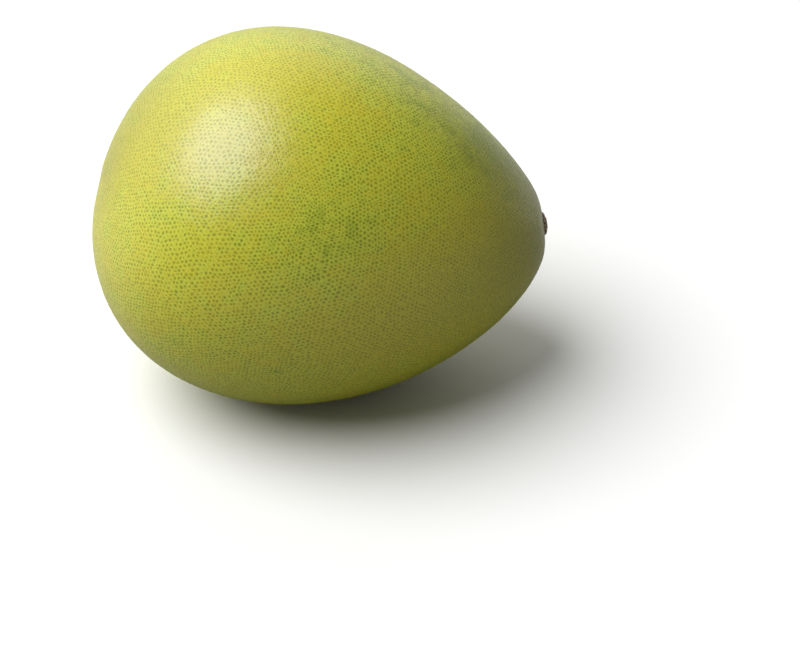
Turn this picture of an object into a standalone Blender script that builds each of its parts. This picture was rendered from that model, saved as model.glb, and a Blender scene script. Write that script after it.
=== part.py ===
"""A whole pomelo: a pear-shaped citrus fruit lying on its side.

Frame, in metres with +Z up: the origin is the middle of the bounding box's base. +X runs along the fruit,
from its broad blossom end to its narrow stem end. The fruit is the same on both sides of the XZ plane.

Three objects, each one closed solid:
  fruit      the pear-shaped body, with the flat spot it rests on and the shallow hollow round its stem
  calyx      the five-lobed woody button, seated in the fruit
  stem_stub  the cut end of the stalk, standing in the middle of the calyx
"""

import math

import bmesh
import bpy
from mathutils import Matrix, Vector

# ---- The fruit's own shape, metres and radians ----
AXIS_LENGTH = 0.179  # along the curved middle line, from blossom end to stem end
BELLY_RADIUS = 0.0743
BELLY_PLACE = 0.401  # where the belly is widest, as a share of the middle line from the blossom end
BLOSSOM_POWERS = (2.12, 2.23)  # 2 and 2 would make the blossom end an ellipse; more makes it fuller
NECK_POWER = 1.94
NECK_TAPER = 0.232  # how much slimmer than an ellipse the stem end is
AXIS_DIP = math.radians(10.8)  # the middle line sinks this much toward the stem, as the fruit lies
AXIS_BEND = math.radians(15.6)  # and turns up by this much from one end to the other
STATIONS = 44  # rings of faces along the fruit
SEGMENTS = 64  # faces round each ring

# ---- The flat spot ----
REST_CUT = 0.0013  # depth of the flat below the round belly

# ---- The stem end ----
STEM_RISE = 0.0048  # the stem stands this far above the tip of the middle line
STEM_TILT = math.radians(10.0)  # so the skin there faces up by this much more than the tip does
HOLLOW_RADIUS = 0.016
HOLLOW_DEPTH = 0.0011
GAP = 0.0003  # clear space between pieces that touch

CALYX_RADIUS = 0.0046
CALYX_LOBES = 5
LOBE_DEPTH = 0.07  # the notches between lobes, as a share of the radius
CALYX_SUNK = 0.0010  # how deep its foot stands in the fruit
CALYX_EDGE = 0.0007  # height of its rim above the fruit
CALYX_HEIGHT = 0.0013  # height of its shoulder above the fruit
CALYX_SEGMENTS = 40

STUB_RADIUS = 0.0024
STUB_HEIGHT = 0.0019  # its cut end, above the fruit
STUB_SOCKET = 0.0008  # how deep it stands in the calyx
STUB_BEVEL = 0.0003
STUB_SEGMENTS = 24

# ---- Colours: linear RGB with alpha, roughness ----
FINISHES = {
    "fruit": ((0.42, 0.46, 0.05, 1.0), 0.42),
    "calyx": ((0.085, 0.062, 0.038, 1.0), 0.80),
    "stem_stub": ((0.23, 0.16, 0.10, 1.0), 0.85),
}


def radius_at(share):
    """Radius of the fruit at a share of the way along its middle line."""
    if share < BELLY_PLACE:
        way = (BELLY_PLACE - share) / BELLY_PLACE
        inner, outer = BLOSSOM_POWERS
        return BELLY_RADIUS * max(1.0 - way**inner, 0.0) ** (1.0 / outer)
    way = (share - BELLY_PLACE) / (1.0 - BELLY_PLACE)
    ellipse = math.sqrt(max(1.0 - way**NECK_POWER, 0.0))
    return BELLY_RADIUS * ellipse * (1.0 - NECK_TAPER * way**2)


def middle_line(share):
    """A point of the curved middle line, and the direction of the fruit's up at that point."""
    start = AXIS_DIP + AXIS_BEND / 2.0
    dip = start - AXIS_BEND * share
    reach = AXIS_LENGTH / AXIS_BEND
    point = Vector((reach * (math.sin(start) - math.sin(dip)), 0.0, reach * (math.cos(start) - math.cos(dip))))
    return point, Vector((math.sin(dip), 0.0, math.cos(dip)))


def stem_frame():
    """Where the stem stands: its seat on the skin, with +Z out along the stem."""
    tip, up = middle_line(1.0)
    along = Vector((up.z, 0.0, -up.x))
    outward = along * math.cos(STEM_TILT) + up * math.sin(STEM_TILT)
    upward = up * math.cos(STEM_TILT) - along * math.sin(STEM_TILT)
    tip_fall = STEM_RISE * math.tan(STEM_TILT / 2.0)
    seat = tip + up * STEM_RISE - along * (tip_fall + HOLLOW_DEPTH)
    turn = Matrix((Vector((0.0, 1.0, 0.0)), upward, outward)).transposed().to_4x4()
    return Matrix.Translation(seat) @ turn


def add_object(name, bm, parent):
    """Makes a smooth-shaded object of its own material from a mesh under construction."""
    bmesh.ops.recalc_face_normals(bm, faces=bm.faces)
    mesh = bpy.data.meshes.new(name)
    bm.to_mesh(mesh)
    bm.free()
    mesh.shade_smooth()
    mesh.set_sharp_from_angle(angle=math.radians(35.0))
    obj = bpy.data.objects.new(name, mesh)
    obj.parent = parent
    bpy.context.scene.collection.objects.link(obj)
    if name in FINISHES:
        colour, roughness = FINISHES[name]
        material = bpy.data.materials.new(name)
        material.use_nodes = True
        shader = material.node_tree.nodes["Principled BSDF"]
        shader.inputs["Base Color"].default_value = colour
        shader.inputs["Roughness"].default_value = roughness
        shader.inputs["Metallic"].default_value = 0.0
        mesh.materials.append(material)
    return obj


def turned_body(bm):
    """The fruit about a straight middle line: its outline, closed at both ends, spun about +X."""
    outline = []
    for i in range(STATIONS + 1):
        swing = -math.cos(math.pi * i / STATIONS)
        reach = BELLY_PLACE if swing < 0.0 else 1.0 - BELLY_PLACE
        share = BELLY_PLACE + swing * reach
        outline.append(bm.verts.new((share * AXIS_LENGTH, 0.0, radius_at(share))))
    edges = [bm.edges.new(pair) for pair in zip(outline, outline[1:])]
    bmesh.ops.spin(
        bm,
        geom=outline + edges,
        axis=(1.0, 0.0, 0.0),
        cent=(0.0, 0.0, 0.0),
        angle=math.tau,
        steps=SEGMENTS,
        use_merge=True,
    )
    bmesh.ops.remove_doubles(bm, verts=bm.verts, dist=1e-6)


def lay_on_middle_line(bm):
    """Bends the straight fruit onto its curved, dipping middle line."""
    for vert in bm.verts:
        point, up = middle_line(vert.co.x / AXIS_LENGTH)
        vert.co = point + up * vert.co.z + Vector((0.0, vert.co.y, 0.0))


def hollow_stem_end(bm, frame):
    """Sinks the skin round the stem into a shallow round hollow."""
    to_frame = frame.inverted()
    outward = frame.to_3x3().col[2].copy()
    for vert in bm.verts:
        local = to_frame @ vert.co
        distance = math.hypot(local.x, local.y)
        if distance < HOLLOW_RADIUS and local.z > -HOLLOW_RADIUS:
            vert.co -= outward * HOLLOW_DEPTH * (0.5 + 0.5 * math.cos(math.pi * distance / HOLLOW_RADIUS))


def flatten_rest(bm):
    """Cuts the small flat that the fruit lies on, and returns its height."""
    height = min(vert.co.z for vert in bm.verts) + REST_CUT
    cut = bmesh.ops.bisect_plane(
        bm,
        geom=bm.verts[:] + bm.edges[:] + bm.faces[:],
        dist=1e-7,
        plane_co=(0.0, 0.0, height),
        plane_no=(0.0, 0.0, 1.0),
        clear_inner=True,
    )
    rim = [e for e in cut["geom_cut"] if isinstance(e, bmesh.types.BMEdge)]
    bmesh.ops.contextual_create(bm, geom=rim)
    return height


def lobed(radius, depth):
    """A rule for a ring's radius at each angle: round, with a notch between each two lobes."""
    return lambda angle: radius * (1.0 - depth * (0.5 - 0.5 * math.cos(CALYX_LOBES * angle)))


def set_ring(verts, radius_rule, height):
    """Moves a ring's vertices, each along its own angle, to a new radius and height."""
    for vert in verts:
        angle = math.atan2(vert.co.y, vert.co.x)
        radius = radius_rule(angle)
        vert.co = Vector((radius * math.cos(angle), radius * math.sin(angle), height))


def raise_ring(bm, face, radius_rule, height):
    """Extrudes a disc's face to a new radius and height, and returns the new end face."""
    lone_disc = all(edge.is_boundary for edge in face.edges)
    grown = bmesh.ops.extrude_face_region(bm, geom=[face])["geom"]
    if not lone_disc:
        bmesh.ops.delete(bm, geom=[face], context="FACES_ONLY")
    set_ring([g for g in grown if isinstance(g, bmesh.types.BMVert)], radius_rule, height)
    return next(g for g in grown if isinstance(g, bmesh.types.BMFace))


def lobed_foot(bm, radius, height):
    """The bottom disc of a lobed piece, which raise_ring builds on and leaves in place."""
    made = bmesh.ops.create_circle(bm, cap_ends=True, segments=CALYX_SEGMENTS, radius=radius)
    set_ring(made["verts"], lobed(radius, LOBE_DEPTH), height)
    return bm.faces[:][0]


def calyx_seat(parent, frame):
    """The cutter for the calyx's seat: the foot of the calyx, larger by the gap all round."""
    bm = bmesh.new()
    foot = lobed_foot(bm, CALYX_RADIUS + GAP, -CALYX_SUNK - GAP)
    raise_ring(bm, foot, lobed(CALYX_RADIUS + GAP, LOBE_DEPTH), HOLLOW_RADIUS / 2.0)
    cutter = add_object("calyx_seat_cutter", bm, parent)
    cutter.matrix_local = frame
    cutter.hide_render = True
    cutter.display_type = "WIRE"
    return cutter


def make_calyx(parent, frame):
    """The lobed woody button: a straight foot, a rounded shoulder and a socket for the stub."""
    bm = bmesh.new()
    face = lobed_foot(bm, CALYX_RADIUS, -CALYX_SUNK)
    shoulder = (CALYX_RADIUS + STUB_RADIUS + GAP) / 2.0
    face = raise_ring(bm, face, lobed(CALYX_RADIUS, LOBE_DEPTH), CALYX_EDGE / 2.0)
    face = raise_ring(bm, face, lobed(CALYX_RADIUS * 0.93, LOBE_DEPTH), CALYX_EDGE)
    face = raise_ring(bm, face, lobed(shoulder, LOBE_DEPTH / 2.0), CALYX_HEIGHT)
    face = raise_ring(bm, face, lobed(STUB_RADIUS + GAP, 0.0), CALYX_HEIGHT)
    raise_ring(bm, face, lobed(STUB_RADIUS + GAP, 0.0), CALYX_HEIGHT - STUB_SOCKET - GAP)
    calyx = add_object("calyx", bm, parent)
    calyx.matrix_local = frame


def make_stem_stub(parent, frame):
    """The cut end of the stalk: a short stump with a softened rim."""
    bm = bmesh.new()
    foot = CALYX_HEIGHT - STUB_SOCKET
    depth = STUB_HEIGHT - foot
    bmesh.ops.create_cone(
        bm,
        cap_ends=True,
        segments=STUB_SEGMENTS,
        radius1=STUB_RADIUS,
        radius2=STUB_RADIUS,
        depth=depth,
        matrix=Matrix.Translation((0.0, 0.0, foot + depth / 2.0)),
    )
    rim = [e for e in bm.edges if all(v.co.z > foot + depth / 2.0 for v in e.verts)]
    bmesh.ops.bevel(
        bm, geom=rim, offset=STUB_BEVEL, segments=2, profile=0.5, affect="EDGES", material=-1
    )
    stub = add_object("stem_stub", bm, parent)
    stub.matrix_local = frame


def make_fruit(parent, frame):
    """The pear-shaped body, and the height of its flat before it is set down on the ground."""
    bm = bmesh.new()
    turned_body(bm)
    lay_on_middle_line(bm)
    hollow_stem_end(bm, frame)
    rest_height = flatten_rest(bm)
    fruit = add_object("fruit", bm, parent)
    seat = fruit.modifiers.new("calyx_seat", "BOOLEAN")
    seat.operation = "DIFFERENCE"
    seat.solver = "EXACT"
    seat.object = calyx_seat(parent, frame)
    return rest_height


def set_on_origin(parent, rest_height):
    """Moves the whole fruit so that the middle of its box's base is the origin."""
    bpy.context.view_layer.update()
    along = [
        (obj.matrix_world @ vert.co).x
        for obj in parent.children
        if obj.name in FINISHES
        for vert in obj.data.vertices
    ]
    parent.location = (-(min(along) + max(along)) / 2.0, 0.0, -rest_height)
    bpy.context.view_layer.update()


def main():
    for obj in list(bpy.data.objects):
        bpy.data.objects.remove(obj, do_unlink=True)
    pomelo = bpy.data.objects.new("pomelo", None)
    bpy.context.scene.collection.objects.link(pomelo)
    frame = stem_frame()
    rest_height = make_fruit(pomelo, frame)
    make_calyx(pomelo, frame)
    make_stem_stub(pomelo, frame)
    set_on_origin(pomelo, rest_height)


main()
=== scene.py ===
"""The pomelo: one whole fruit lying on its side, with its dried calyx and the cut end of its stalk.

The rind is one closed skin with an oil gland at every third point of its net. The calyx and the stalk
end are small woody pieces that sit in the shallow hollow at the narrow end of the fruit.
"""
import logging
import math
import random
from bisect import bisect_left
from dataclasses import dataclass, field
from enum import Enum
from typing import Iterable, Optional, Sequence, Union

import bmesh
import bpy
from mathutils import Matrix, Vector, noise


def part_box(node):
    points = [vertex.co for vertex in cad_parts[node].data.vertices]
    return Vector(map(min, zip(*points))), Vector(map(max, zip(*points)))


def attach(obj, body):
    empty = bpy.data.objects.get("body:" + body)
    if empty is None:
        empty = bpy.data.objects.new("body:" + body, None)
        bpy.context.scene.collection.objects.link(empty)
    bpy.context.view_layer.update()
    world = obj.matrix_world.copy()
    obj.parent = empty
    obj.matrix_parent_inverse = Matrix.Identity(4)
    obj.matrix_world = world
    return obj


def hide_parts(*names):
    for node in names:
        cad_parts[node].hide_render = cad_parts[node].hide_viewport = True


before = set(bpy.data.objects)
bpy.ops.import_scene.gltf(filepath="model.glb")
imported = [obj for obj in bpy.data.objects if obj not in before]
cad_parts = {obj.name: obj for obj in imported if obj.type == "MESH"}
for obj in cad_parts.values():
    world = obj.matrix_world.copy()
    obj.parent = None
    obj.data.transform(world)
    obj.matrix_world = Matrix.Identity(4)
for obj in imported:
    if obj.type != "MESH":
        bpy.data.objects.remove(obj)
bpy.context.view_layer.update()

LOG = logging.getLogger("pomelo")
MM = 0.001

Socket = bpy.types.NodeSocket
Colour = tuple[float, float, float]
Number = Union[float, Socket]
Shade = Union[Colour, Socket]


def smooth_step(value: float) -> float:
    """Eases value from 0 to 1, level at both ends."""
    held = min(max(value, 0.0), 1.0)
    return held * held * (3.0 - 2.0 * held)


def rough_at(place: Vector, fineness: float, octaves: int) -> float:
    """Gives fractal noise from about -1 to 1 at a place, with fineness bumps to a metre."""
    return noise.fractal(place * fineness, 0.9, 2.1, octaves)


# ---------------------------------------------------------------------------------------------------
# The form of the fruit


@dataclass(frozen=True)
class FruitForm:
    """The smooth pear form under the rind's texture: a bent middle line with a round section.

    Shares run along the middle line from 0 at the blossom end to 1 at the stem end. Around angles turn
    about it, from 0 on the +Y side through 90 degrees on top.
    """

    axis_length: float = 0.179
    belly_radius: float = 0.0743
    belly_place: float = 0.401
    blossom_powers: tuple[float, float] = (2.12, 2.23)
    neck_power: float = 1.94
    neck_taper: float = 0.232
    axis_dip: float = math.radians(10.8)
    axis_bend: float = math.radians(15.6)
    rest_height: float = -0.0928549
    middle: float = 0.0847660

    def radius_at(self, share: float) -> float:
        """Gives the radius of the round section.

        Args:
            share: how far along the middle line the section is.

        Returns:
            The radius, which is 0 at both ends.
        """
        if share < self.belly_place:
            way = (self.belly_place - share) / self.belly_place
            rise, root = self.blossom_powers
            return self.belly_radius * max(1.0 - way**rise, 0.0) ** (1.0 / root)
        way = (share - self.belly_place) / (1.0 - self.belly_place)
        cone = 1.0 - self.neck_taper * way**2
        return self.belly_radius * math.sqrt(max(1.0 - way**self.neck_power, 0.0)) * cone

    def middle_line(self, share: float) -> tuple[Vector, Vector]:
        """Follows the middle line.

        Args:
            share: how far along it, from the blossom end.

        Returns:
            The point of the middle line, and the direction that is up within its section.
        """
        start = self.axis_dip + self.axis_bend / 2.0
        dip = start - self.axis_bend * share
        reach = self.axis_length / self.axis_bend
        point = Vector((
            reach * (math.sin(start) - math.sin(dip)) - self.middle,
            0.0,
            reach * (math.cos(start) - math.cos(dip)) - self.rest_height,
        ))
        return point, Vector((math.sin(dip), 0.0, math.cos(dip)))

    def skin_point(self, share: float, around: float) -> Vector:
        """Finds a point of the smooth skin.

        Args:
            share: the point's share of the middle line.
            around: its around angle in radians.

        Returns:
            The point.
        """
        point, up = self.middle_line(share)
        radius = self.radius_at(share)
        return point + up * (radius * math.sin(around)) + Vector((0.0, radius * math.cos(around), 0.0))


@dataclass(frozen=True)
class StemSeat:
    """The shallow hollow at the narrow end, and the frame in which the calyx and the stalk are made."""

    form: FruitForm
    rise: float = 4.8 * MM
    tilt: float = math.radians(10.0)
    hollow_radius: float = 16.0 * MM
    hollow_depth: float = 1.1 * MM
    neck_length: float = 0.03

    def outward(self) -> Vector:
        """Finds the direction in which the stem points.

        Returns:
            The direction, of length 1.
        """
        up = self.form.middle_line(1.0)[1]
        along = Vector((up.z, 0.0, -up.x))
        return along * math.cos(self.tilt) + up * math.sin(self.tilt)

    def seat(self) -> Vector:
        """Finds the middle of the bottom of the hollow.

        Returns:
            The point.
        """
        tip, up = self.form.middle_line(1.0)
        along = Vector((up.z, 0.0, -up.x))
        fall = self.rise * math.tan(self.tilt / 2.0)
        return tip + up * self.rise - along * (fall + self.hollow_depth)

    def stem_frame(self) -> Matrix:
        """Works out the seat's frame.

        Returns:
            The frame: +Z out along the stem, +Y up the end of the fruit.
        """
        outward = self.outward()
        across = Vector((0.0, 1.0, 0.0))
        upward = outward.cross(across)
        turn = Matrix((across, upward, outward)).transposed().to_4x4()
        return Matrix.Translation(self.seat()) @ turn

    def from_axis(self, point: Vector) -> float:
        """Measures how far a point is from the line of the stem.

        Args:
            point: a point of the fruit.

        Returns:
            The distance, or a whole metre for a point deeper in than the neck.
        """
        arm = point - self.seat()
        outward = self.outward()
        along = arm.dot(outward)
        if along < -self.neck_length:
            return 1.0
        return (arm - outward * along).length


# ---------------------------------------------------------------------------------------------------
# Materials


class Graph:
    """A material's shader graph, with short calls that add nodes and join them."""

    def __init__(self, name: str) -> None:
        """Starts an empty material with its shader and its output.

        Args:
            name: the material's name.
        """
        self.material = bpy.data.materials.new(name)
        self.material.use_nodes = True
        self.tree = self.material.node_tree
        self.tree.nodes.clear()
        output = self.tree.nodes.new("ShaderNodeOutputMaterial")
        self.shader = self.tree.nodes.new("ShaderNodeBsdfPrincipled")
        self.tree.links.new(self.shader.outputs["BSDF"], output.inputs["Surface"])
        self.place = self.tree.nodes.new("ShaderNodeTexCoord").outputs["Object"]

    def feed(self, socket: Socket, value: Union[float, Colour, Socket]) -> None:
        """Joins a socket to an output, or sets it to a plain value.

        Args:
            socket: the input that is fed.
            value: an output, a number or a colour.
        """
        if isinstance(value, Socket):
            self.tree.links.new(value, socket)
        elif isinstance(value, tuple):
            socket.default_value = (*value, 1.0)
        else:
            socket.default_value = value

    def attribute(self, name: str) -> Socket:
        """Reads one of the piece's own point values.

        Args:
            name: the value's name.

        Returns:
            The output.
        """
        node = self.tree.nodes.new("ShaderNodeAttribute")
        node.attribute_name = name
        return node.outputs["Fac"]

    def noise(self, fineness: float, detail: float, rough: float = 0.5) -> Socket:
        """Adds a noise pattern on the object's own coordinates.

        Args:
            fineness: how many blotches there are to a metre.
            detail: how many finer layers are added.
            rough: how strong the finer layers are.

        Returns:
            The output, from 0 to 1 round a middle of 0.5.
        """
        node = self.tree.nodes.new("ShaderNodeTexNoise")
        self.feed(node.inputs["Vector"], self.place)
        node.inputs["Scale"].default_value = fineness
        node.inputs["Detail"].default_value = detail
        node.inputs["Roughness"].default_value = rough
        return node.outputs["Fac"]

    def math(self, operation: str, first: Number, second: Number, third: Number = 0.0) -> Socket:
        """Adds a sum.

        Args:
            operation: the Math node's operation.
            first: the first number.
            second: the second number.
            third: the third number, where the operation has one.

        Returns:
            The output.
        """
        node = self.tree.nodes.new("ShaderNodeMath")
        node.operation = operation
        for socket, value in zip(node.inputs, (first, second, third)):
            self.feed(socket, value)
        return node.outputs[0]

    def span(self, value: Number, low: float, high: float, start: float = 0.0, end: float = 1.0) -> Socket:
        """Eases a value from start to end as it goes from low to high.

        Args:
            value: what is read.
            low: the value at which the result is start.
            high: the value at which the result is end.
            start: the result at and below low.
            end: the result at and above high.

        Returns:
            The output.
        """
        node = self.tree.nodes.new("ShaderNodeMapRange")
        node.interpolation_type = "SMOOTHSTEP"
        names = ("Value", "From Min", "From Max", "To Min", "To Max")
        for name, number in zip(names, (value, low, high, start, end)):
            self.feed(node.inputs[name], number)
        return node.outputs["Result"]

    def blend(self, factor: Number, first: Shade, second: Shade) -> Socket:
        """Blends two colours.

        Args:
            factor: how much of the second there is.
            first: the first colour.
            second: the second colour.

        Returns:
            The output.
        """
        node = self.tree.nodes.new("ShaderNodeMix")
        node.data_type = "RGBA"
        node.clamp_factor = True
        sockets = [socket for socket in node.inputs if socket.type == "RGBA"]
        self.feed(node.inputs[0], factor)
        self.feed(sockets[0], first)
        self.feed(sockets[1], second)
        return next(socket for socket in node.outputs if socket.type == "RGBA")

    def ramp(self, value: Number, colours: Sequence[Colour]) -> Socket:
        """Turns a value into a colour.

        Args:
            value: what is read, from 0 to 1.
            colours: the colours, evenly spaced from 0 to 1.

        Returns:
            The output.
        """
        node = self.tree.nodes.new("ShaderNodeValToRGB")
        self.feed(node.inputs["Fac"], value)
        elements = node.color_ramp.elements
        while len(elements) < len(colours):
            elements.new(0.5)
        for number, (element, colour) in enumerate(zip(elements, colours)):
            element.position = number / (len(colours) - 1)
            element.color = (*colour, 1.0)
        return node.outputs["Color"]

    def bump(self, height: Number, depth: float, below: Optional[Socket] = None) -> Socket:
        """Tilts the surface by a height.

        Args:
            height: the height, from 0 to 1.
            depth: how many metres a height of 1 is.
            below: the normal that it is laid over.

        Returns:
            The tilted normal.
        """
        node = self.tree.nodes.new("ShaderNodeBump")
        node.inputs["Strength"].default_value = 1.0
        node.inputs["Distance"].default_value = depth
        self.feed(node.inputs["Height"], height)
        if below is not None:
            self.feed(node.inputs["Normal"], below)
        return node.outputs["Normal"]

    def distance(self, centre: Vector) -> Socket:
        """Measures how far each point of the piece is from a centre.

        Args:
            centre: the centre, in metres.

        Returns:
            The distance in metres.
        """
        node = self.tree.nodes.new("ShaderNodeVectorMath")
        node.operation = "DISTANCE"
        self.feed(node.inputs[0], self.place)
        node.inputs[1].default_value = centre
        return node.outputs["Value"]

    def along(self, direction: tuple[float, float, float]) -> Socket:
        """Measures how far each point of the piece lies in a direction.

        Args:
            direction: the direction from the middle of the object.

        Returns:
            The length in metres.
        """
        node = self.tree.nodes.new("ShaderNodeVectorMath")
        node.operation = "DOT_PRODUCT"
        self.feed(node.inputs[0], self.place)
        node.inputs[1].default_value = direction
        return node.outputs["Value"]

    def finish(self, colour: Shade, roughness: Number, normal: Socket, ior: float) -> bpy.types.Material:
        """Joins the last outputs to the shader.

        Args:
            colour: the surface colour.
            roughness: the roughness.
            normal: the tilted normal.
            ior: how strongly the surface mirrors, the same all over.

        Returns:
            The material.
        """
        self.feed(self.shader.inputs["Base Color"], colour)
        self.feed(self.shader.inputs["Roughness"], roughness)
        self.feed(self.shader.inputs["Normal"], normal)
        self.shader.inputs["IOR"].default_value = ior
        return self.material


@dataclass(frozen=True)
class Mottle:
    """An uneven pattern that moves a value up and down round where it was."""

    fineness: float
    detail: float
    strength: float
    rough: float = 0.6

    def on(self, graph: Graph) -> Socket:
        """Adds the pattern to a graph, from minus half its strength to plus half."""
        pattern = graph.noise(self.fineness, self.detail, self.rough)
        return graph.math("MULTIPLY_ADD", pattern, self.strength, -self.strength / 2.0)


@dataclass(frozen=True)
class RindFinish:
    """The waxy rind: green to yellow between the glands, darker green in each gland.

    The rind's point values say how ripe and how dull each place is, and the mottles vary the ripeness.
    """

    green: Colour = (0.397, 0.496, 0.022)
    lime: Colour = (0.694, 0.744, 0.054)
    yellow: Colour = (0.742, 0.685, 0.040)
    gland_green: Colour = (0.182, 0.232, 0.000)
    gland_lime: Colour = (0.300, 0.341, 0.000)
    gland_yellow: Colour = (0.45, 0.425, 0.001)
    olive: Colour = (0.26, 0.235, 0.012)
    scar: Colour = (0.20, 0.115, 0.045)
    pore: Colour = (0.02, 0.03, 0.0)
    blotch: Mottle = Mottle(55.0, 4.0, 0.80)
    cloud: Mottle = Mottle(125.0, 3.0, 1.20)
    fleck: Mottle = Mottle(300.0, 3.0, 0.70)
    gland_edge: Mottle = Mottle(750.0, 3.0, 0.64, 0.65)
    ragged: Mottle = Mottle(420.0, 4.0, 2.6 * MM)
    gland_cover: float = 0.95
    pore_cover: float = 0.28
    waxy: float = 0.31
    pitted: float = 0.38
    scarred: float = 0.75
    grain_depth: float = 0.07 * MM
    gland_lift: float = -0.03 * MM
    ior: float = 1.81

    def skin(self, graph: Graph, gland: Socket) -> Socket:
        """Colours the skin between the ends.

        Args:
            graph: the rind's graph.
            gland: how far each point is inside a gland.

        Returns:
            The colour.
        """
        varied = graph.math("ADD", self.cloud.on(graph), self.fleck.on(graph))
        varied = graph.math("ADD", self.blotch.on(graph), varied)
        ripe = graph.math("ADD", graph.attribute("ripe"), varied)
        between = graph.ramp(ripe, (self.green, self.lime, self.yellow))
        inside = graph.ramp(ripe, (self.gland_green, self.gland_lime, self.gland_yellow))
        colour = graph.blend(graph.math("MULTIPLY", gland, self.gland_cover), between, inside)
        # The olive value darkens the skin toward olive; where it lies under the key light's highlight it is
        # painted shade.
        colour = graph.blend(graph.attribute("olive"), colour, self.olive)
        grain = graph.noise(1900.0, 2.0, 0.6)
        return graph.blend(graph.span(grain, 0.25, 0.75, self.pore_cover, 0.0), colour, self.pore)

    def marks(self, graph: Graph, blossom: Vector, stem: Vector) -> tuple[Socket, Socket]:
        """Places the marks at the two ends.

        Args:
            graph: the rind's graph.
            blossom: the middle of the blossom scar.
            stem: the middle of the stem's seat.

        Returns:
            How strong the blossom scar is, and how dull the skin is round it and round the stem.
        """
        ragged = self.ragged.on(graph)
        from_blossom = graph.math("ADD", graph.distance(blossom), ragged)
        from_stem = graph.math("ADD", graph.distance(stem), ragged)
        scar = graph.span(from_blossom, 1.7 * MM, 2.9 * MM, 1.0, 0.0)
        halo = graph.span(from_blossom, 2.0 * MM, 9.0 * MM, 0.35, 0.0)
        collar = graph.span(from_stem, 4.4 * MM, 9.0 * MM, 0.55, 0.0)
        return scar, graph.math("MAXIMUM", halo, collar)

    def material(self, blossom: Vector, stem: Vector) -> bpy.types.Material:
        """Makes the rind's material.

        Args:
            blossom: the middle of the blossom scar.
            stem: the middle of the stem's seat.

        Returns:
            The material.
        """
        graph = Graph("rind")
        depth = graph.math("ADD", graph.attribute("gland"), self.gland_edge.on(graph))
        gland = graph.span(depth, 0.22, 0.66)
        scar, dull = self.marks(graph, blossom, stem)
        colour = graph.blend(dull, self.skin(graph, gland), self.olive)
        colour = graph.blend(scar, colour, self.scar)
        roughness = graph.math("MULTIPLY_ADD", gland, self.pitted - self.waxy, self.waxy)
        roughness = graph.math("MAXIMUM", roughness, graph.math("MULTIPLY", scar, self.scarred))
        normal = graph.bump(graph.noise(1700.0, 3.0, 0.65), self.grain_depth)
        normal = graph.bump(gland, self.gland_lift, normal)
        return graph.finish(colour, roughness, normal, self.ior)


@dataclass(frozen=True)
class WoodFinish:
    """Dry woody tissue whose colour is painted paler on its ridges and darker in its grooves as painted
    highlight and shade: the calyx, and the stalk's cut end.
    """

    name: str
    dark: Colour
    pale: Colour
    fineness: float
    roughness: float
    fibre_depth: float = 0.12 * MM
    speck_depth: float = 0.05 * MM
    ior: float = 1.4

    def material(self) -> bpy.types.Material:
        """Makes the material: the wood's own fibre tone, with painted shade in the creases and a painted
        highlight on the ridges.

        Returns:
            The material.
        """
        graph = Graph(self.name)
        fibre = graph.noise(self.fineness, 5.0, 0.65)
        speck = graph.noise(self.fineness * 4.0, 3.0, 0.6)
        # Paler on the ridges and darker in the grooves: the crest pattern paints a highlight and shade into
        # the colour.
        ridge_light_and_shade = graph.math("MULTIPLY", graph.attribute("ridge_light_and_shade"), 0.6)
        height = graph.math("ADD", graph.math("MULTIPLY", fibre, 0.55), ridge_light_and_shade)
        colour = graph.blend(graph.span(height, 0.28, 0.85), self.dark, self.pale)
        colour = graph.blend(graph.span(speck, 0.5, 0.75, 0.0, 0.35), colour, self.dark)
        normal = graph.bump(fibre, self.fibre_depth)
        normal = graph.bump(speck, self.speck_depth, normal)
        rough = graph.span(speck, 0.3, 0.8, self.roughness - 0.08, self.roughness + 0.12)
        return graph.finish(colour, rough, normal, self.ior)


def piece_of(net: bmesh.types.BMesh, name: str, material: bpy.types.Material) -> bpy.types.Object:
    """Turns a finished net into a shown, smooth-shaded object at the origin.

    Args:
        net: the piece's net, in place. It is freed.
        name: the object's name.
        material: its material.

    Returns:
        The object.
    """
    mesh = bpy.data.meshes.new(name)
    net.to_mesh(mesh)
    net.free()
    mesh.materials.append(material)
    mesh.shade_smooth()
    piece = bpy.data.objects.new(name, mesh)
    bpy.context.scene.collection.objects.link(piece)
    return piece


# ---------------------------------------------------------------------------------------------------
# The rind


class Lean(Enum):
    """Which way a patch of the rind leans from the skin round it, as ripeness and dullness; the DULLER patch
    under the key light's highlight is painted shade.
    """

    RIPER = (1.0, 0.0)
    GREENER = (-1.0, 0.0)
    DULLER = (0.0, 1.0)


@dataclass(frozen=True)
class Patch:
    """A soft-edged patch of colour on the rind, placed by share and around angle in degrees."""

    lean: Lean
    share: float
    around: float
    along: float
    across: float
    amount: float

    def weight(self, form: FruitForm, share: float, around: float) -> float:
        """Gives how strongly the patch counts at a place.

        Args:
            form: the form of the fruit.
            share: the place's share of the middle line.
            around: the place's around angle in radians.

        Returns:
            The weight, which is the amount at the middle and fades to 0.
        """
        ahead = (share - self.share) * form.axis_length / self.along
        turn = math.remainder(around - math.radians(self.around), 2.0 * math.pi)
        aside = turn * max(form.radius_at(share), 0.01) / self.across
        reach = ahead * ahead + aside * aside
        return self.amount * math.exp(-reach) if reach < 9.0 else 0.0


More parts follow.
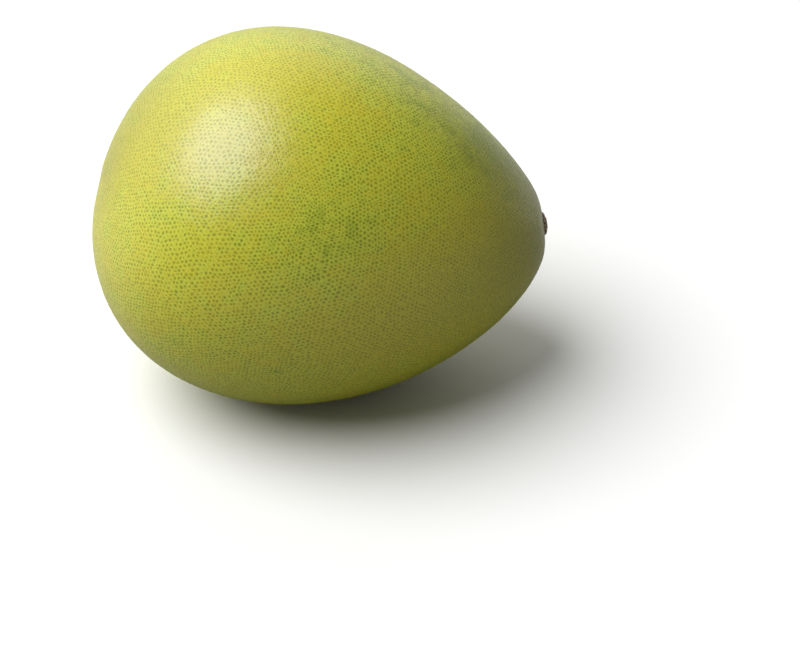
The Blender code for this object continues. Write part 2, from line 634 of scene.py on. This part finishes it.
PATCHES = (
    Patch(Lean.RIPER, 0.30, 103.0, 30 * MM, 15 * MM, 0.56),
    Patch(Lean.RIPER, 0.07, 118.0, 18 * MM, 24 * MM, 0.17),
    Patch(Lean.RIPER, 0.33, 133.0, 20 * MM, 14 * MM, 0.39),
    Patch(Lean.RIPER, 0.28, 152.0, 14 * MM, 9 * MM, 0.12),
    Patch(Lean.RIPER, 0.62, 178.0, 30 * MM, 28 * MM, 0.52),
    Patch(Lean.RIPER, 0.86, 155.0, 24 * MM, 26 * MM, 0.62),
    Patch(Lean.GREENER, 0.05, 88.0, 11 * MM, 11 * MM, 0.06),
    Patch(Lean.GREENER, 0.05, 158.0, 16 * MM, 12 * MM, 0.22),
    Patch(Lean.GREENER, 0.50, 78.0, 28 * MM, 22 * MM, 0.22),
    Patch(Lean.GREENER, 0.68, 98.0, 24 * MM, 24 * MM, 0.32),
    Patch(Lean.GREENER, 0.86, 105.0, 22 * MM, 24 * MM, 0.59),
    Patch(Lean.GREENER, 1.00, 92.0, 24 * MM, 30 * MM, 0.45),
    Patch(Lean.GREENER, 0.46, 156.0, 26 * MM, 18 * MM, 0.39),
    Patch(Lean.GREENER, 0.40, 20.0, 40 * MM, 30 * MM, 0.30),
    Patch(Lean.RIPER, 0.20, -25.0, 34 * MM, 34 * MM, 0.24),
    Patch(Lean.GREENER, 0.62, -55.0, 30 * MM, 34 * MM, 0.30),
    Patch(Lean.RIPER, 0.70, 35.0, 22 * MM, 20 * MM, 0.22),
    Patch(Lean.DULLER, 0.82, 114.0, 20 * MM, 22 * MM, 0.26),
    Patch(Lean.DULLER, 0.94, 122.0, 22 * MM, 30 * MM, 0.26),
    Patch(Lean.DULLER, 0.95, 160.0, 28 * MM, 36 * MM, 0.29),
    Patch(Lean.DULLER, 0.96, 20.0, 30 * MM, 40 * MM, 0.19),
    Patch(Lean.DULLER, 0.02, 80.0, 22 * MM, 26 * MM, 0.32),
    # Duller patch under the key light's highlight: painted shade that darkens the skin there to tone the
    # highlight down.
    Patch(Lean.DULLER, 0.19, 129.6, 24 * MM, 22 * MM, 0.40),
    Patch(Lean.GREENER, 0.37, 133.6, 22 * MM, 22 * MM, 0.15),
    Patch(Lean.RIPER, 0.04, 130.4, 16 * MM, 18 * MM, 0.12),
    Patch(Lean.RIPER, 0.02, 184.0, 22 * MM, 30 * MM, 0.14),
    Patch(Lean.RIPER, 0.43, 152.8, 16 * MM, 14 * MM, 0.05),
    Patch(Lean.GREENER, 0.51, 132.4, 18 * MM, 16 * MM, 0.06),
)


@dataclass
class Rind:
    """The whole outside of the fruit, as one closed skin with a pit at each oil gland."""

    form: FruitForm
    seat: StemSeat
    finish: RindFinish = field(default_factory=RindFinish)
    patches: Sequence[Patch] = PATCHES
    base_ripeness: float = 0.72
    seed: int = 31

    net_levels: int = 4
    net_cuts: int = 6
    net_turn: float = 0.7
    net_axis: tuple[float, float, float] = (0.3, 0.8, 0.5)
    hexagon_share: float = 0.866
    scatter: float = 0.27
    drift: float = 0.016
    neck_crowding: float = 1.35
    crowding_start: float = 0.4

    gland_strength: tuple[float, float] = (0.86, 0.17)
    gland_limits: tuple[float, float] = (0.35, 1.15)
    pit_depth: float = 0.085 * MM
    pebble_depth: float = 0.035 * MM
    swell_depth: float = 0.22 * MM
    swell_fineness: float = 38.0
    bumpy_depth: float = 0.11 * MM
    bumpy_fineness: float = 210.0

    stem_side: float = 0.8
    crease_depth: float = 0.16 * MM
    crease_reach: float = 2.2
    crease_start: float = 2.0 * MM
    crease_full: float = 5.0 * MM
    crease_count: float = 9.0
    blossom_side: float = 0.1
    blossom_place: tuple[float, float] = (0.006, math.radians(-38.0))
    dimple_radius: float = 9.0 * MM
    dimple_depth: float = 0.7 * MM
    chart_fill: float = 0.95

    def blossom_end(self) -> Vector:
        """Gives the middle of the blossom scar, a little behind the far end of the middle line."""
        return self.form.skin_point(*self.blossom_place)

    def area_shares(self, steps: int = 400) -> tuple[list[float], list[float]]:
        """Adds up the skin's area from the blossom end, counted more where glands crowd.

        Args:
            steps: how many slices the middle line is cut into.

        Returns:
            The shares of the middle line, and the part of the weighted area that lies before each.
        """
        shares = [0.5 - 0.5 * math.cos(math.pi * step / steps) for step in range(steps + 1)]
        sums = [0.0]
        for before, after in zip(shares, shares[1:]):
            low, high = self.form.radius_at(before), self.form.radius_at(after)
            slant = math.hypot((after - before) * self.form.axis_length, high - low)
            way = ((before + after) / 2.0 - self.crowding_start) / (1.0 - self.crowding_start)
            crowd = 1.0 + (self.neck_crowding - 1.0) * smooth_step(way)
            sums.append(sums[-1] + (low + high) * slant * crowd)
        return shares, [each / sums[-1] for each in sums]

    def ball(self) -> tuple[bmesh.types.BMesh, int]:
        """Makes the net of glands on a ball of radius 1, with its points scattered a little.

        Returns:
            The net, and how many of its first points are glands.
        """
        net = bmesh.new()
        bmesh.ops.create_icosphere(net, subdivisions=self.net_levels, radius=1.0)
        bmesh.ops.subdivide_edges(net, edges=net.edges[:], cuts=self.net_cuts, use_grid_fill=True)
        lean = Matrix.Rotation(self.net_turn, 3, Vector(self.net_axis).normalized())
        draw = random.Random(self.seed)
        noise.seed_set(self.seed)
        count = len(net.verts)
        gap = math.sqrt(4.0 * math.pi / count / self.hexagon_share)
        for vert in net.verts:
            at = (lean @ vert.co).normalized()
            at += noise.noise_vector(at * 5.0) * self.drift + noise.noise_vector(at * 14.0) * self.drift * 0.5
            turn, reach = draw.uniform(0.0, 2.0 * math.pi), math.sqrt(draw.random()) * self.scatter * gap
            side = at.orthogonal().normalized()
            at += (side * math.cos(turn) + at.cross(side).normalized() * math.sin(turn)) * reach
            vert.co = at.normalized()
        between = net.edges[:]
        bmesh.ops.poke(net, faces=net.faces[:])
        bmesh.ops.rotate_edges(net, edges=between, use_ccw=False)
        for vert in net.verts:
            vert.co.normalize()
        return net, count

    def unwrap(self, net: bmesh.types.BMesh) -> None:
        """Lays the net out as the six sides of a box, so that a baked picture spends little on gaps.

        Args:
            net: the net, still a ball.
        """
        layer = net.loops.layers.uv.new("OFBake")
        half = self.chart_fill / 2.0
        for face in net.faces:
            middle = face.calc_center_median()
            axis = max(range(3), key=lambda each: abs(middle[each]))
            row = 0 if middle[axis] > 0.0 else 1
            first, second = (axis + 1) % 3, (axis + 2) % 3
            for loop in face.loops:
                at = loop.vert.co
                across = math.atan2(at[first], abs(at[axis])) / (math.pi / 4.0)
                along = math.atan2(at[second], abs(at[axis])) / (math.pi / 4.0)
                loop[layer].uv = (axis + 0.5 + across * half) / 3.0, (row + 0.5 + along * half) / 2.0

    def press(self, point: Vector, share: float) -> Vector:
        """Presses in the stem's hollow and the blossom end's dimple.

        Args:
            point: a point of the smooth skin.
            share: its share of the middle line.

        Returns:
            The pressed point.
        """
        if share > self.stem_side:
            away = self.seat.from_axis(point)
            if away < self.seat.hollow_radius:
                ease = 0.5 + 0.5 * math.cos(math.pi * away / self.seat.hollow_radius)
                point = point - self.seat.outward() * (self.seat.hollow_depth * ease)
        elif share < self.blossom_side:
            away = (point - self.blossom_end()).length
            if away < self.dimple_radius:
                ease = 0.5 + 0.5 * math.cos(math.pi * away / self.dimple_radius)
                point = point + Vector((1.0, 0.0, 0.0)) * (self.dimple_depth * ease)
        return point

    def lay_on(self, net: bmesh.types.BMesh) -> list[tuple[float, float]]:
        """Moves the ball's net onto the form, with its hollows and the flat spot that it rests on.

        Args:
            net: the net, still a ball.

        Returns:
            Each point's share of the middle line and its around angle.
        """
        shares, sums = self.area_shares()
        places = []
        for vert in net.verts:
            turned = min(max((1.0 + vert.co.x) / 2.0, 0.0), 1.0)
            spot = min(max(bisect_left(sums, turned), 1), len(sums) - 1)
            part = (turned - sums[spot - 1]) / max(sums[spot] - sums[spot - 1], 1e-12)
            share = shares[spot - 1] + (shares[spot] - shares[spot - 1]) * part
            around = math.atan2(vert.co.z, vert.co.y)
            places.append((share, around))
            vert.co = self.press(self.form.skin_point(share, around), share)
            vert.co.z = max(vert.co.z, 0.0)
        net.normal_update()
        return places

    def leaning(self, share: float, around: float) -> tuple[float, float]:
        """Adds up the patches of colour at a place.

        Args:
            share: the place's share of the middle line.
            around: its around angle in radians.

        Returns:
            How ripe and how dull the skin is there.
        """
        weights = [patch.weight(self.form, share, around) for patch in self.patches]
        ripe, dull = (
            sum(weight * patch.lean.value[kind] for weight, patch in zip(weights, self.patches))
            for kind in range(2)
        )
        return self.base_ripeness + ripe, min(dull, 1.0)

    def crease(self, point: Vector) -> float:
        """Gives how deep the radial creases round the stem are.

        Args:
            point: a point of the skin.

        Returns:
            The depth there in metres.
        """
        away = self.seat.from_axis(point)
        reach = self.crease_reach * self.seat.hollow_radius
        if away > reach or away < self.crease_start:
            return 0.0
        arm = self.seat.stem_frame().inverted() @ point
        turn = math.atan2(arm.y, arm.x)
        fold = 0.5 + 0.5 * math.sin(turn * self.crease_count + 2.5 * math.sin(turn * 2.0 + 1.0))
        fade = smooth_step((reach - away) / reach) * smooth_step(away / self.crease_full)
        return self.crease_depth * fold * fade

    def relief(self, point: Vector) -> float:
        """Gives how far the skin between the glands lies in from the smooth form.

        Args:
            point: a point of the smooth skin.

        Returns:
            The depth there in metres.
        """
        swell = 0.5 - 0.5 * rough_at(point, self.swell_fineness, 2)
        bumpy = 0.5 - 0.5 * rough_at(point + Vector((0.3, 0.1, 0.7)), self.bumpy_fineness, 3)
        return self.swell_depth * swell + self.bumpy_depth * bumpy + self.crease(point)

    def texture(self, net: bmesh.types.BMesh, places: Sequence[tuple[float, float]], count: int) -> None:
        """Presses in the glands and the unevenness, and notes each point's colour.

        Args:
            net: the net on the smooth form.
            places: each point's share and around angle.
            count: how many of the first points are glands.
        """
        gland, ripe, olive = (net.verts.layers.float[name] for name in ("gland", "ripe", "olive"))
        draw = random.Random(self.seed + 1)
        least, most = self.gland_limits
        for index, (vert, place) in enumerate(zip(net.verts, places)):
            flat = vert.co.copy()
            vert[ripe], vert[olive] = self.leaning(*place)
            if index < count:
                strength = min(max(draw.gauss(*self.gland_strength), least), most)
                vert[gland], pressed = strength, self.pit_depth * strength
            else:
                pressed = draw.uniform(0.0, self.pebble_depth)
            vert.co = flat - vert.normal * max(self.relief(flat) + pressed, 0.0)
            vert.co.z = max(vert.co.z, 0.0)

    def build(self) -> bpy.types.Object:
        """Builds the skin in place and dresses it.

        Returns:
            The rind's object.
        """
        net, count = self.ball()
        self.unwrap(net)
        for name in ("gland", "ripe", "olive"):
            net.verts.layers.float.new(name)
        self.texture(net, self.lay_on(net), count)
        piece = piece_of(net, "pomelo_rind", self.finish.material(self.blossom_end(), self.seat.seat()))
        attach(piece, "root")
        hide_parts("fruit")
        return piece


# ---------------------------------------------------------------------------------------------------
# The calyx and the stalk


@dataclass(frozen=True)
class Ring:
    """One ring of a turned woody piece: its radius and height, and how far it is ridged and lobed."""

    radius: float
    height: float
    ridged: float = 0.0
    lobed: float = 1.0


@dataclass
class WoodyPiece:
    """A small woody piece grown ring by ring round the stem's line, from its foot to its middle."""

    seat: StemSeat
    name: str
    node: str
    slot: str
    rings: Sequence[Ring]
    finish: WoodFinish
    lobes: int = 0
    lobe_depth: float = 0.0
    grooves: int = 17
    segments: int = 120

    def outline(self, angle: float, ring: Ring) -> float:
        """Gives the radius of a ring, drawn in between the lobes.

        Args:
            angle: the angle round the stem in radians.
            ring: the ring.

        Returns:
            The radius there.
        """
        if not self.lobes:
            return ring.radius
        notch = (0.5 - 0.5 * math.cos(self.lobes * angle)) ** 1.6
        uneven = 0.5 + 0.5 * math.sin(angle * 2.0 + 0.7)
        return ring.radius * (1.0 - self.lobe_depth * ring.lobed * notch * (0.7 + 0.3 * uneven))

    def wrinkle(self, angle: float, radius: float) -> float:
        """Gives the ridge pattern.

        Args:
            angle: the angle round the stem in radians.
            radius: how far out it is.

        Returns:
            About 0 in a groove and 1 on a ridge.
        """
        at = Vector((math.cos(angle), math.sin(angle), radius / (2.0 * MM)))
        bend = 1.4 * noise.noise(at * 1.7)
        return 0.5 + 0.32 * math.sin(self.grooves * angle + bend * 3.0) + 0.4 * noise.noise(at * 5.0)

    def shape_ring(self, verts: Iterable[bmesh.types.BMVert], ring: Ring, ridge_light_and_shade: object) -> None:
        """Moves a ring's points into place, and notes how high each stands between groove and crest, for the
        painted highlight and shade of the colour.

        Args:
            verts: the ring's points.
            ring: its sizes.
            ridge_light_and_shade: the layer that holds the crest pattern, which paints a highlight on the
                ridges and shade in the grooves.
        """
        for vert in verts:
            angle = math.atan2(vert.co.y, vert.co.x)
            wave = self.wrinkle(angle, ring.radius)
            sunk = ring.ridged * (1.0 - wave)
            reach = self.outline(angle, ring) - 0.5 * sunk
            vert.co = (reach * math.cos(angle), reach * math.sin(angle), ring.height - sunk)
            vert[ridge_light_and_shade] = min(max(wave, 0.0), 1.0)

    def build(self) -> bpy.types.Object:
        """Builds the piece in place and dresses it.

        Returns:
            The piece's object.
        """
        net = bmesh.new()
        # Each point's place between groove and crest, kept for the painted highlight on the ridges and
        # painted shade in the grooves.
        ridge_light_and_shade = net.verts.layers.float.new("ridge_light_and_shade")
        bmesh.ops.create_circle(net, cap_ends=True, radius=1.0, segments=self.segments)
        border = net.edges[:]
        self.shape_ring(net.verts[:], self.rings[0], ridge_light_and_shade)
        for ring in self.rings[1:]:
            grown = bmesh.ops.extrude_edge_only(net, edges=border)["geom"]
            verts = {each for each in grown if isinstance(each, bmesh.types.BMVert)}
            edges = [each for each in grown if isinstance(each, bmesh.types.BMEdge)]
            border = [edge for edge in edges if verts.issuperset(edge.verts)]
            self.shape_ring(verts, ring, ridge_light_and_shade)
        bmesh.ops.edgeloop_fill(net, edges=border)
        bmesh.ops.poke(net, faces=[face for face in net.faces if len(face.verts) > 4])
        bmesh.ops.recalc_face_normals(net, faces=net.faces[:])
        bmesh.ops.transform(net, matrix=self.seat.stem_frame(), verts=net.verts[:])
        piece = piece_of(net, self.name, self.finish.material())
        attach(piece, "root")
        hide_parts(self.node)
        return piece


@dataclass
class Calyx(WoodyPiece):
    """The dried calyx: a low domed button, grooved from its rim to the stalk."""

    name: str = "pomelo_calyx"
    node: str = "calyx"
    slot: str = "calyx_wood"
    rings: Sequence[Ring] = (
        Ring(3.90 * MM, -0.70 * MM),
        Ring(4.40 * MM, -0.40 * MM, 0.03 * MM),
        Ring(4.60 * MM, -0.12 * MM, 0.06 * MM),
        Ring(4.59 * MM, 0.12 * MM, 0.08 * MM),
        Ring(4.46 * MM, 0.34 * MM, 0.10 * MM),
        Ring(4.20 * MM, 0.54 * MM, 0.13 * MM, 0.9),
        Ring(3.82 * MM, 0.73 * MM, 0.16 * MM, 0.6),
        Ring(3.38 * MM, 0.88 * MM, 0.18 * MM, 0.4),
        Ring(2.98 * MM, 0.96 * MM, 0.16 * MM, 0.2),
        Ring(2.70 * MM, 0.92 * MM, 0.12 * MM, 0.1),
        Ring(2.46 * MM, 0.70 * MM, 0.05 * MM, 0.0),
        Ring(1.20 * MM, 0.42 * MM, 0.0, 0.0),
    )
    finish: WoodFinish = WoodFinish("calyx_wood", (0.110, 0.080, 0.053), (0.49, 0.39, 0.275), 700.0, 0.66)
    lobes: int = 5
    lobe_depth: float = 0.06


@dataclass
class StalkEnd(WoodyPiece):
    """The cut end of the stalk: a short peg with bark round a dished, fibrous face."""

    name: str = "pomelo_stalk_end"
    node: str = "stem_stub"
    slot: str = "cut_stalk"
    rings: Sequence[Ring] = (
        Ring(2.10 * MM, 0.44 * MM),
        Ring(2.34 * MM, 0.60 * MM, 0.04 * MM),
        Ring(2.33 * MM, 0.88 * MM, 0.05 * MM),
        Ring(2.30 * MM, 1.12 * MM, 0.05 * MM),
        Ring(2.14 * MM, 1.28 * MM, 0.05 * MM),
        Ring(1.92 * MM, 1.30 * MM, 0.06 * MM),
        Ring(1.68 * MM, 1.18 * MM, 0.08 * MM),
        Ring(1.30 * MM, 1.12 * MM, 0.10 * MM),
        Ring(0.85 * MM, 1.08 * MM, 0.08 * MM),
        Ring(0.45 * MM, 1.04 * MM, 0.04 * MM),
    )
    finish: WoodFinish = WoodFinish("cut_stalk", (0.090, 0.064, 0.040), (0.45, 0.35, 0.24), 900.0, 0.8)
    grooves: int = 23


# ---------------------------------------------------------------------------------------------------
# The studio


@dataclass
class Studio:
    """A pale floor without an edge, one large soft light high on the left, and the camera.

    The floor and the surround are pale where they are seen, and darker where they light the fruit.
    """

    form: FruitForm
    key_from: tuple[float, float, float] = (-0.531, -0.086, 0.843)
    key_spread: float = math.radians(57.0)
    key_strength: float = 3.16

    fill_from: tuple[float, float, float] = (-0.45, 0.88, 0.15)
    fill_edges: tuple[float, float] = (0.10, 0.80)
    dim_fill: float = 0.11
    bright_fill: float = 0.90
    backdrop: float = 1.0

    floor_radius: float = 40.0
    floor_colour: Colour = (0.94, 0.94, 0.937)
    floor_cloud: float = 0.985
    floor_bounce: Colour = (0.37, 0.37, 0.366)
    floor_behind: Colour = (0.55, 0.55, 0.545)
    floor_mirrored: Colour = (0.16, 0.16, 0.158)
    bright_floor: tuple[float, float, float] = (-0.25, 0.97, 0.0)
    floor_edges: tuple[float, float] = (-0.08, 0.14)

    azimuth: float = math.radians(-4.98)
    elevation: float = math.radians(34.0)
    distance: float = 1.3566
    slide_right: float = 28.88 * MM
    slide_down: float = 48.18 * MM
    lens: float = 154.98

    def floor(self) -> bpy.types.Object:
        """Lays the floor.

        Returns:
            The floor's object.
        """
        net = bmesh.new()
        bmesh.ops.create_circle(net, cap_ends=True, radius=self.floor_radius, segments=96)
        graph = Graph("floor")
        cloud = graph.noise(3.0, 2.0)
        pale = tuple(each * self.floor_cloud for each in self.floor_colour)
        seen = graph.blend(graph.span(cloud, 0.3, 0.7), self.floor_colour, pale)
        behind = graph.span(graph.along(self.bright_floor), *self.floor_edges)
        bounced = graph.blend(behind, self.floor_bounce, self.floor_behind)
        mirrored = graph.blend(behind, self.floor_mirrored, self.floor_behind)
        path = graph.tree.nodes.new("ShaderNodeLightPath").outputs
        colour = graph.blend(path["Is Glossy Ray"], bounced, mirrored)
        colour = graph.blend(path["Is Camera Ray"], colour, seen)
        graph.finish(colour, 0.9, graph.bump(cloud, 0.01 * MM), 1.3)
        graph.shader.inputs["Specular IOR Level"].default_value = 0.0
        piece = piece_of(net, "floor", graph.material)
        return piece

    def light(self) -> bpy.types.Object:
        """Hangs the soft key light.

        Returns:
            The light.
        """
        data = bpy.data.lights.new("key", "SUN")
        data.energy = self.key_strength
        data.angle = self.key_spread
        key = bpy.data.objects.new("key", data)
        key.rotation_mode = "QUATERNION"
        key.rotation_quaternion = Vector(self.key_from).to_track_quat("Z", "Y")
        key.location = Vector(self.key_from) * 1.5
        bpy.context.scene.collection.objects.link(key)
        return key

    def surround(self) -> bpy.types.World:
        """Makes the surround: white where it is seen, and a weak fill from one side where it lights.

        Returns:
            The world.
        """
        world = bpy.data.worlds.new("surround")
        world.use_nodes = True
        nodes, join = world.node_tree.nodes, world.node_tree.links.new
        ground = nodes["Background"]
        ground.inputs["Color"].default_value = (1.0, 1.0, 1.0, 1.0)
        facing = nodes.new("ShaderNodeVectorMath")
        facing.operation = "DOT_PRODUCT"
        facing.inputs[1].default_value = self.fill_from
        fill = nodes.new("ShaderNodeMapRange")
        fill.interpolation_type = "SMOOTHSTEP"
        names = ("From Min", "From Max", "To Min", "To Max")
        for name, number in zip(names, (*self.fill_edges, self.dim_fill, self.bright_fill)):
            fill.inputs[name].default_value = number
        seen = nodes.new("ShaderNodeMapRange")
        seen.inputs["To Max"].default_value = self.backdrop
        join(nodes.new("ShaderNodeTexCoord").outputs["Generated"], facing.inputs[0])
        join(facing.outputs["Value"], fill.inputs["Value"])
        join(fill.outputs["Result"], seen.inputs["To Min"])
        join(nodes.new("ShaderNodeLightPath").outputs["Is Camera Ray"], seen.inputs["Value"])
        join(seen.outputs["Result"], ground.inputs["Strength"])
        bpy.context.scene.world = world
        return world

    def camera(self) -> bpy.types.Object:
        """Sets up the camera, looking down on the fruit's long side.

        Returns:
            The camera.
        """
        lean, rise = self.azimuth, self.elevation
        right = Vector((math.cos(lean), math.sin(lean), 0.0))
        back = Vector((math.sin(lean) * math.cos(rise), -math.cos(lean) * math.cos(rise), math.sin(rise)))
        up = back.cross(right)
        middle = (self.form.middle_line(0.0)[0] + self.form.middle_line(1.0)[0]) / 2.0
        data = bpy.data.cameras.new("camera")
        data.lens = self.lens
        data.clip_start, data.clip_end = 0.05, 60.0
        camera = bpy.data.objects.new("camera", data)
        camera.location = middle + right * self.slide_right - up * self.slide_down + back * self.distance
        camera.rotation_mode = "QUATERNION"
        camera.rotation_quaternion = (-back).to_track_quat("-Z", "Y")
        bpy.context.scene.collection.objects.link(camera)
        bpy.context.scene.camera = camera
        return camera

    def build(self) -> None:
        """Sets up the whole studio."""
        bpy.context.scene.view_settings.view_transform = "Standard"
        for made in (self.camera(), self.floor(), self.light(), self.surround()):
            LOG.info("studio: %s", made.name)


def fitted_form() -> FruitForm:
    """Places the form so that its blossom end meets that end of the fruit's own box.

    Returns:
        The placed form.
    """
    loose = FruitForm()
    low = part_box("fruit")[0]
    shares = [step / 2000.0 for step in range(400)]
    sides = (-math.pi / 2.0, math.pi / 2.0)
    reach = min(loose.skin_point(share, side).x for share in shares for side in sides)
    return FruitForm(middle=loose.middle + reach - low[0])


def main() -> None:
    """Builds the studio and the three pieces of the pomelo, and notes each one."""
    logging.basicConfig(level=logging.INFO, format="%(name)s: %(message)s")
    form = fitted_form()
    seat = StemSeat(form)
    Studio(form).build()
    for piece in (Rind(form, seat), Calyx(seat), StalkEnd(seat)):
        made = piece.build()
        LOG.info("%s: %d faces", made.name, len(made.data.polygons))


if __name__ == "__main__":
    main()
